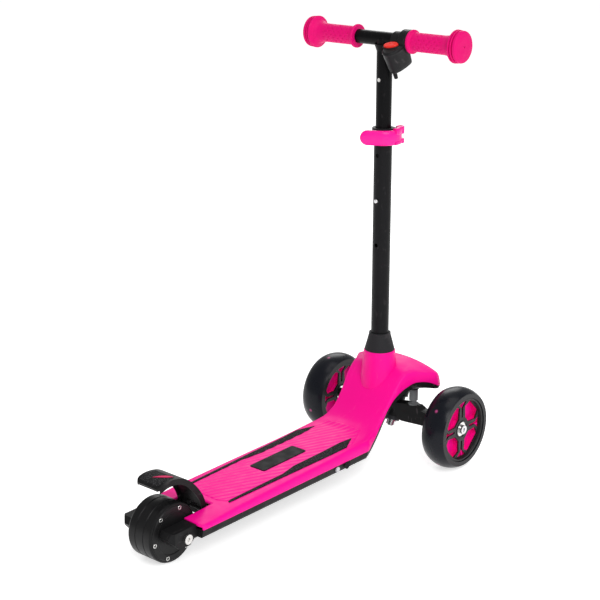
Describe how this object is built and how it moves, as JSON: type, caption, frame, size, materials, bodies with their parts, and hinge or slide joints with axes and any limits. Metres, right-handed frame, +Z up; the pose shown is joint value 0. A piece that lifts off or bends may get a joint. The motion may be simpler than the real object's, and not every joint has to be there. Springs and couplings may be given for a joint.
{
  "type": "kick scooter",
  "caption": "Child's electric kick scooter with two front wheels, a lean-to-steer truck, a rear hub motor, a brake fender and a telescoping T-bar.",
  "frame": {"origin": "on the floor at the middle of the box that holds the whole scooter", "axes": "+Z up, +Y forward, +X to the rider's right"},
  "size_m": [0.266, 0.58, 0.6365],
  "materials": {
    "pink_shell": "satin",
    "black_shell": "satin",
    "strip_rubber": "matte",
    "plate_grey": "satin",
    "battery_wrap": "satin",
    "board_green": "satin",
    "button_grey": "gloss",
    "button_red": "gloss",
    "screw_steel": "brushed",
    "spring_steel": "brushed",
    "axle_steel": "brushed",
    "tyre_black": "matte",
    "tyre_grey": "satin",
    "motor_alloy": "satin",
    "motor_black": "satin",
    "magnet": "satin",
    "stator_iron": "satin",
    "rim_pink": "satin",
    "trim_black": "satin",
    "bearing_steel": "polished",
    "beam_black": "satin",
    "bushing_urethane": "satin",
    "damper_grey": "matte",
    "tube_black": "satin",
    "collar_black": "satin",
    "lever_pink": "satin",
    "bar_black": "satin",
    "grip_pink": "matte",
    "throttle_black": "satin",
    "fender_black": "satin",
    "fender_pad": "matte"
  },
  "bodies": {
    "deck": {"deck_cover": "pink_shell", "lower_shell": "black_shell", "grip_strips": "strip_rubber", "badge_plate": "plate_grey", "battery_pack": "battery_wrap", "controller_board": "board_green", "power_switch": "trim_black", "charge_socket": "trim_black", "cover_screws": "screw_steel", "fender_hinge_pin": "axle_steel", "fender_spring": "spring_steel", "rear_axle": "axle_steel", "motor_stator": "stator_iron", "rear_axle_bolts": "screw_steel", "kingpin_bolt": "axle_steel", "kingpin_nut": "axle_steel", "kingpin_bushings": "bushing_urethane", "damper_caps": "collar_black", "lower_tube": "tube_black", "stem_cone": "collar_black", "clamp_collar": "collar_black", "lever_pin": "axle_steel", "clamp_bolt": "screw_steel"},
    "steering_truck": {"truck_beam": "beam_black", "lean_dampers": "damper_grey", "front_axle_bolts": "axle_steel"},
    "front_wheel_left": {"front_tyre_left": "tyre_black", "front_rim_left": "rim_pink", "wheel_trim_left": "trim_black", "front_bearings_left": "bearing_steel"},
    "front_wheel_right": {"front_tyre_right": "tyre_black", "front_rim_right": "rim_pink", "wheel_trim_right": "trim_black", "front_bearings_right": "bearing_steel"},
    "rear_wheel": {"rear_tyre": "tyre_grey", "motor_rotor": "motor_alloy", "motor_cover_left": "motor_black", "motor_cover_right": "motor_black", "motor_cover_screws": "screw_steel", "rotor_magnets": "magnet", "rear_bearings": "bearing_steel"},
    "fender": {"brake_fender": "fender_black", "fender_grip": "fender_pad"},
    "handlebar_stem": {"handlebar": "bar_black", "grip_left": "grip_pink", "grip_right": "grip_pink", "throttle_housing": "throttle_black", "throttle_base": "throttle_black", "throttle_switch": "plate_grey", "throttle_screws": "screw_steel", "throttle_gland": "throttle_black", "snap_spring": "spring_steel", "stem_screw": "screw_steel"},
    "throttle": {"throttle_button": "button_red"},
    "snap": {"snap_button": "axle_steel"},
    "power": {"power_button": "button_grey"},
    "charge_flap": {"charge_cap": "strip_rubber"},
    "lever": {"clamp_lever": "lever_pink"}
  },
  "joints": [
    {"name": "handlebar_height", "type": "slide", "parent": "deck", "child": "handlebar_stem", "axis": [0, 0, 1], "range_m": [-0.065, 0.065], "deforming": ["snap_button", "snap_spring"]},
    {"name": "clamp_lever_open", "type": "hinge", "parent": "deck", "child": "lever", "pos_m": [0.017, 0.2115, 0.479], "axis": [0, 0, 1], "range_deg": [0, 100]},
    {"name": "throttle_press", "type": "slide", "parent": "handlebar_stem", "child": "throttle", "axis": [0, 0.4384, -0.8988], "range_m": [0, 0.0025], "stiffness_N_per_m": 800, "springref_m": -0.001},
    {"name": "snap_press", "type": "slide", "parent": "handlebar_stem", "child": "snap", "axis": [0, 1, 0], "range_m": [0, 0.0047], "stiffness_N_per_m": 1200, "springref_m": -0.001, "deforming": ["snap_spring"]},
    {"name": "power_press", "type": "slide", "parent": "deck", "child": "power", "axis": [-1, 0, 0], "range_m": [0, 0.0012], "stiffness_N_per_m": 1200, "springref_m": -0.001},
    {"name": "charge_cap_open", "type": "hinge", "parent": "deck", "child": "charge_flap", "pos_m": [0.0563, 0.0474, 0.0423], "axis": [0, 0, 1], "range_deg": [-110, 0]},
    {"name": "brake_press", "type": "hinge", "parent": "deck", "child": "fender", "pos_m": [0, -0.191, 0.052], "axis": [1, 0, 0], "range_deg": [0, 17], "stiffness_Nm_per_rad": 2, "springref_deg": -5.73, "deforming": ["fender_spring"]},
    {"name": "lean_steer", "type": "hinge", "parent": "deck", "child": "steering_truck", "pos_m": [0, 0.236, 0.06], "axis": [0, 0.4226, 0.9063], "range_deg": [-8, 8], "stiffness_Nm_per_rad": 60, "deforming": ["lean_dampers"]},
    {"name": "front_spin_left", "type": "hinge", "parent": "steering_truck", "child": "front_wheel_left", "pos_m": [-0.1125, 0.23, 0.06], "axis": [1, 0, 0], "continuous": true},
    {"name": "front_spin_right", "type": "hinge", "parent": "steering_truck", "child": "front_wheel_right", "pos_m": [0.1125, 0.23, 0.06], "axis": [1, 0, 0], "continuous": true},
    {"name": "rear_spin", "type": "hinge", "parent": "deck", "child": "rear_wheel", "pos_m": [0, -0.25, 0.04], "axis": [1, 0, 0], "continuous": true}
  ]
}
